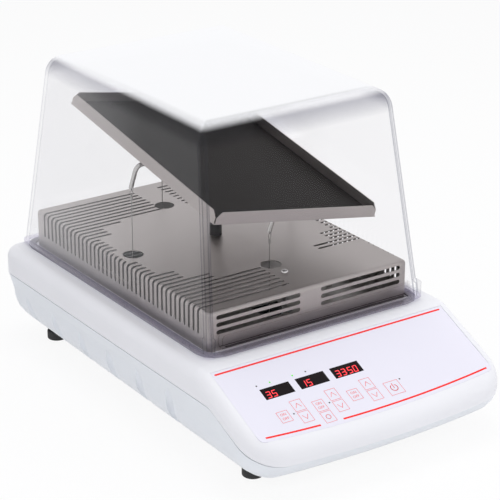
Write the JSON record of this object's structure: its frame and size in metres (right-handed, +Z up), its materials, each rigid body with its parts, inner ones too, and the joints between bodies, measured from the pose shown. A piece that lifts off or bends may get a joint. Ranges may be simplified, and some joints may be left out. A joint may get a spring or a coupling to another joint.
{
  "type": "incubated benchtop shaker",
  "caption": "Benchtop tilting shaker with a heated cabinet, sloping key panel, slotted deck cover, tray tilted on a central post by wire tethers, and a clear hinged cover.",
  "frame": {"origin": "centre of the footprint, on the bench under the feet", "axes": "+Z up, -Y towards the control panel, +X to the right seen from the front"},
  "size_m": [0.413, 0.68, 0.439],
  "materials": {
    "cabinet_plastic": "moulded, fine grain, off-white",
    "clear_cover": "clear formed plastic, glossy",
    "stainless_sheet": "fine brushed",
    "stainless_bar": "turned, bright",
    "bright_screws": "bright plated",
    "tether_wire": "stranded wire, dull",
    "hub_aluminium": "machined",
    "mat_rubber": "matt black, smooth",
    "seal_rubber": "matt black",
    "hinge_steel": "pressed sheet",
    "overlay_film": "satin printed film",
    "key_film": "satin printed film over a dome",
    "display_glass": "dark red filter",
    "display_digits": "seven-segment modules",
    "lamp_lens": "small coloured lenses",
    "circuit_board": "green board",
    "motor_black": "black",
    "fan_plastic": "black",
    "drum_plastic": "natural, machined",
    "zinc_case": "perforated case",
    "inlet_plastic": "black",
    "probe_steel": "bright"
  },
  "bodies": {
    "base": {"lower_pan": "cabinet_plastic", "upper_shell": "cabinet_plastic", "rubber_feet": "seal_rubber", "case_screws": "bright_screws", "deck_cover": "stainless_sheet", "deck_screws": "bright_screws", "deck_standoff": "bright_screws", "chamber_floor": "stainless_sheet", "heater": "hub_aluminium", "fan_frame": "motor_black", "temperature_probe": "probe_steel", "centre_post": "stainless_bar", "post_collar": "seal_rubber", "lid_gasket": "seal_rubber", "hinge_brackets": "hinge_steel", "hinge_pins": "bright_screws", "control_overlay": "overlay_film", "display_windows": "display_glass", "display_modules": "display_digits", "control_board": "circuit_board", "indicator_lamps": "lamp_lens", "pitch_motor": "motor_black", "roll_motor": "motor_black", "drive_bracket": "hinge_steel", "power_supply": "zinc_case", "drive_board": "circuit_board", "power_inlet": "inlet_plastic"},
    "gimbal": {"gimbal_cross": "stainless_bar"},
    "tray": {"tray_hub": "hub_aluminium", "tray_pan": "stainless_sheet", "tray_mat": "mat_rubber", "tray_screws": "bright_screws", "tether_arm_left": "stainless_bar", "tether_arm_right": "stainless_bar", "tether_arm_front": "stainless_bar", "tether_arm_rear": "stainless_bar"},
    "lid": {"lid": "clear_cover", "hinge_leaves": "hinge_steel"},
    "fan_rotor": {"fan_rotor": "fan_plastic"},
    "pitch_drum": {"pitch_drum": "drum_plastic"},
    "roll_drum": {"roll_drum": "drum_plastic"},
    "stirrup_left": {"stirrup_left": "stainless_bar"},
    "tether_left": {"tether_left": "tether_wire"},
    "stirrup_right": {"stirrup_right": "stainless_bar"},
    "tether_right": {"tether_right": "tether_wire"},
    "stirrup_front": {"stirrup_front": "stainless_bar"},
    "tether_front": {"tether_front": "tether_wire"},
    "stirrup_rear": {"stirrup_rear": "stainless_bar"},
    "tether_rear": {"tether_rear": "tether_wire"},
    "key_temperature_on_off": {"key_temperature_on_off": "key_film"},
    "key_temperature_up": {"key_temperature_up": "key_film"},
    "key_temperature_down": {"key_temperature_down": "key_film"},
    "key_speed_on_off": {"key_speed_on_off": "key_film"},
    "key_speed_up": {"key_speed_up": "key_film"},
    "key_speed_down": {"key_speed_down": "key_film"},
    "key_time_on_off": {"key_time_on_off": "key_film"},
    "key_time_up": {"key_time_up": "key_film"},
    "key_time_down": {"key_time_down": "key_film"},
    "key_function": {"key_function": "key_film"},
    "key_power": {"key_power": "key_film"}
  },
  "joints": [
    {"name": "tray_pitch", "type": "hinge", "parent": "base", "child": "gimbal", "pos_m": [0, 0.077, 0.28], "axis": [1, 0, 0], "range_deg": [-25.2, 4.8]},
    {"name": "tray_roll", "type": "hinge", "parent": "gimbal", "child": "tray", "pos_m": [0, 0.077, 0.28], "axis": [0, 0.9842, 0.1771], "range_deg": [-25.8, 4.2]},
    {"name": "lid_hinge", "type": "hinge", "parent": "base", "child": "lid", "pos_m": [0, 0.334, 0.15], "axis": [-1, 0, 0], "range_deg": [0, 80]},
    {"name": "fan_spin", "type": "hinge", "parent": "base", "child": "fan_rotor", "pos_m": [0.078, 0.165, 0.14], "axis": [0, 0, 1], "continuous": true},
    {"name": "pitch_drum_turn", "type": "hinge", "parent": "base", "child": "pitch_drum", "pos_m": [0.046, 0.077, 0.078], "axis": [1, 0, 0], "range_deg": [-225, 45]},
    {"name": "roll_drum_turn", "type": "hinge", "parent": "base", "child": "roll_drum", "pos_m": [-0.004, 0.133, 0.078], "axis": [0, 1, 0], "range_deg": [-230, 40]},
    {"name": "stirrup_left_swing", "type": "hinge", "parent": "tray", "child": "stirrup_left", "pos_m": [-0.13939, 0.07409, 0.29615], "axis": [0, 0.9842, 0.1771], "range_deg": [-5, 27]},
    {"name": "tether_left_swing", "type": "hinge", "parent": "stirrup_left", "child": "tether_left", "pos_m": [-0.13939, 0.07409, 0.29615], "axis": [1, 0, 0], "range_deg": [-6, 26]},
    {"name": "stirrup_right_swing", "type": "hinge", "parent": "tray", "child": "stirrup_right", "pos_m": [0.13565, 0.08339, 0.24451], "axis": [0, 0.9842, 0.1771], "range_deg": [-5, 27]},
    {"name": "tether_right_swing", "type": "hinge", "parent": "stirrup_right", "child": "tether_right", "pos_m": [0.13565, 0.08339, 0.24451], "axis": [1, 0, 0], "range_deg": [-6, 26]},
    {"name": "stirrup_front_swing", "type": "hinge", "parent": "tray", "child": "stirrup_front", "pos_m": [-0.00187, -0.05905, 0.24554], "axis": [0, 0.9842, 0.1771], "range_deg": [-5, 27]},
    {"name": "tether_front_swing", "type": "hinge", "parent": "stirrup_front", "child": "tether_front", "pos_m": [-0.00187, -0.05905, 0.24554], "axis": [1, 0, 0], "range_deg": [-6, 26]},
    {"name": "stirrup_rear_swing", "type": "hinge", "parent": "tray", "child": "stirrup_rear", "pos_m": [-0.00187, 0.21653, 0.29512], "axis": [0, 0.9842, 0.1771], "range_deg": [-5, 27]},
    {"name": "tether_rear_swing", "type": "hinge", "parent": "stirrup_rear", "child": "tether_rear", "pos_m": [-0.00187, 0.21653, 0.29512], "axis": [1, 0, 0], "range_deg": [-6, 26]},
    {"name": "key_temperature_on_off_press", "type": "slide", "parent": "base", "child": "key_temperature_on_off", "axis": [0, 0.4067, -0.9135], "range_m": [0, 0.0004], "stiffness_N_per_m": 4000},
    {"name": "key_temperature_up_press", "type": "slide", "parent": "base", "child": "key_temperature_up", "axis": [0, 0.4067, -0.9135], "range_m": [0, 0.0004], "stiffness_N_per_m": 4000},
    {"name": "key_temperature_down_press", "type": "slide", "parent": "base", "child": "key_temperature_down", "axis": [0, 0.4067, -0.9135], "range_m": [0, 0.0004], "stiffness_N_per_m": 4000},
    {"name": "key_speed_on_off_press", "type": "slide", "parent": "base", "child": "key_speed_on_off", "axis": [0, 0.4067, -0.9135], "range_m": [0, 0.0004], "stiffness_N_per_m": 4000},
    {"name": "key_speed_up_press", "type": "slide", "parent": "base", "child": "key_speed_up", "axis": [0, 0.4067, -0.9135], "range_m": [0, 0.0004], "stiffness_N_per_m": 4000},
    {"name": "key_speed_down_press", "type": "slide", "parent": "base", "child": "key_speed_down", "axis": [0, 0.4067, -0.9135], "range_m": [0, 0.0004], "stiffness_N_per_m": 4000},
    {"name": "key_time_on_off_press", "type": "slide", "parent": "base", "child": "key_time_on_off", "axis": [0, 0.4067, -0.9135], "range_m": [0, 0.0004], "stiffness_N_per_m": 4000},
    {"name": "key_time_up_press", "type": "slide", "parent": "base", "child": "key_time_up", "axis": [0, 0.4067, -0.9135], "range_m": [0, 0.0004], "stiffness_N_per_m": 4000},
    {"name": "key_time_down_press", "type": "slide", "parent": "base", "child": "key_time_down", "axis": [0, 0.4067, -0.9135], "range_m": [0, 0.0004], "stiffness_N_per_m": 4000},
    {"name": "key_function_press", "type": "slide", "parent": "base", "child": "key_function", "axis": [0, 0.4067, -0.9135], "range_m": [0, 0.0004], "stiffness_N_per_m": 4000},
    {"name": "key_power_press", "type": "slide", "parent": "base", "child": "key_power", "axis": [0, 0.4067, -0.9135], "range_m": [0, 0.0004], "stiffness_N_per_m": 4000}
  ],
  "couplings": [
    {"joint": "pitch_drum_turn", "follows": "tray_pitch", "ratio": 8.75},
    {"joint": "roll_drum_turn", "follows": "tray_roll", "ratio": 8.75},
    {"joint": "stirrup_left_swing", "follows": "tray_roll", "ratio": -1},
    {"joint": "tether_left_swing", "follows": "tray_pitch", "ratio": -1},
    {"joint": "stirrup_right_swing", "follows": "tray_roll", "ratio": -1},
    {"joint": "tether_right_swing", "follows": "tray_pitch", "ratio": -1},
    {"joint": "stirrup_front_swing", "follows": "tray_roll", "ratio": -1},
    {"joint": "tether_front_swing", "follows": "tray_pitch", "ratio": -1},
    {"joint": "stirrup_rear_swing", "follows": "tray_roll", "ratio": -1},
    {"joint": "tether_rear_swing", "follows": "tray_pitch", "ratio": -1}
  ]
}
